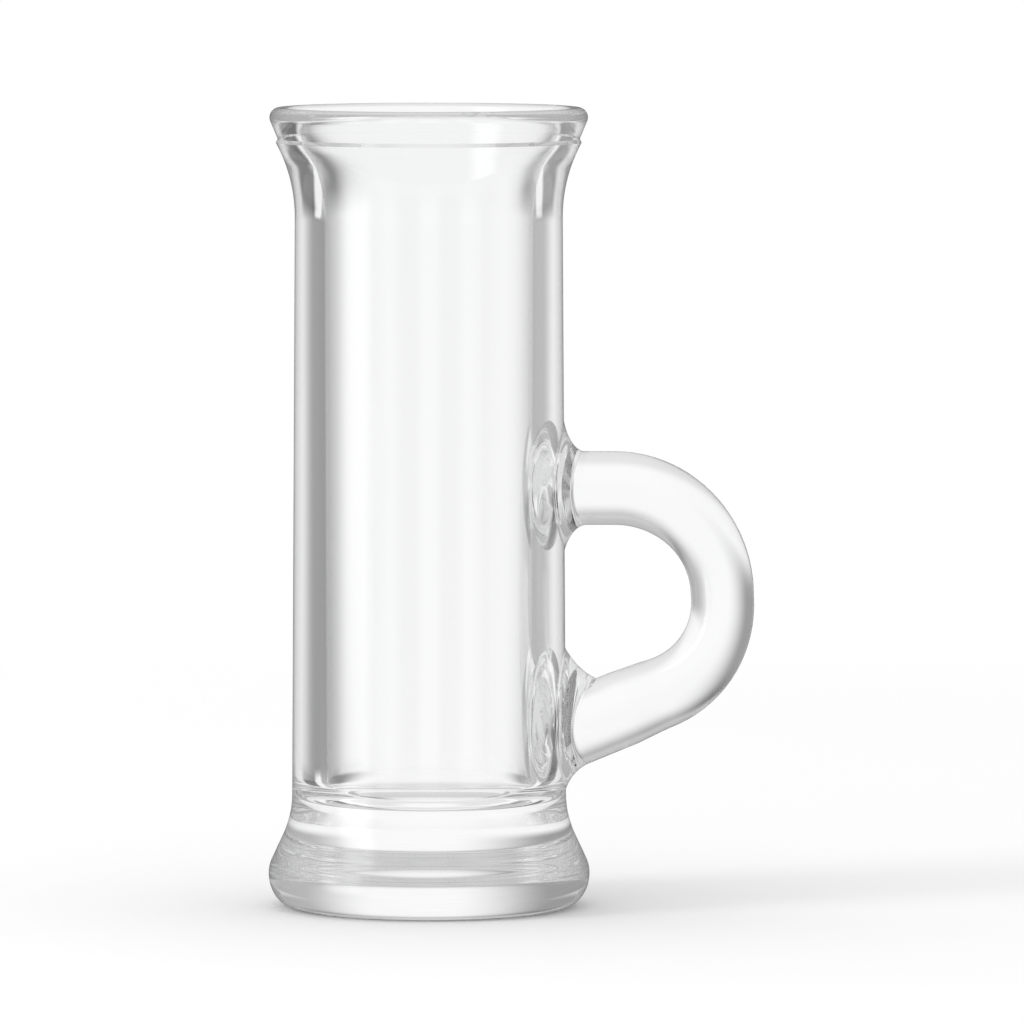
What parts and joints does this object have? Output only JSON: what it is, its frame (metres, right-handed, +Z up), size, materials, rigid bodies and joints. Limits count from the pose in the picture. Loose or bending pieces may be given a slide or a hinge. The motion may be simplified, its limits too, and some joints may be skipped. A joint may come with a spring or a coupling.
{
  "type": "liqueur glass",
  "caption": "Tall clear pressed liqueur glass with a flared rim, a heavy solid foot and a round glass rod bent into a finger handle on one side.",
  "frame": {"origin": "centre of the ring on which the foot stands, on the barrel's axis", "axes": "+Z up along the barrel's axis, +X from the axis towards the handle"},
  "size_m": [0.0639, 0.0422, 0.105],
  "materials": {
    "barrel_glass": "clear fire-polished pressed glass",
    "handle_glass": "clear drawn glass rod"
  },
  "bodies": {
    "root": {"body": "barrel_glass", "handle": "handle_glass"}
  },
  "joints": []
}
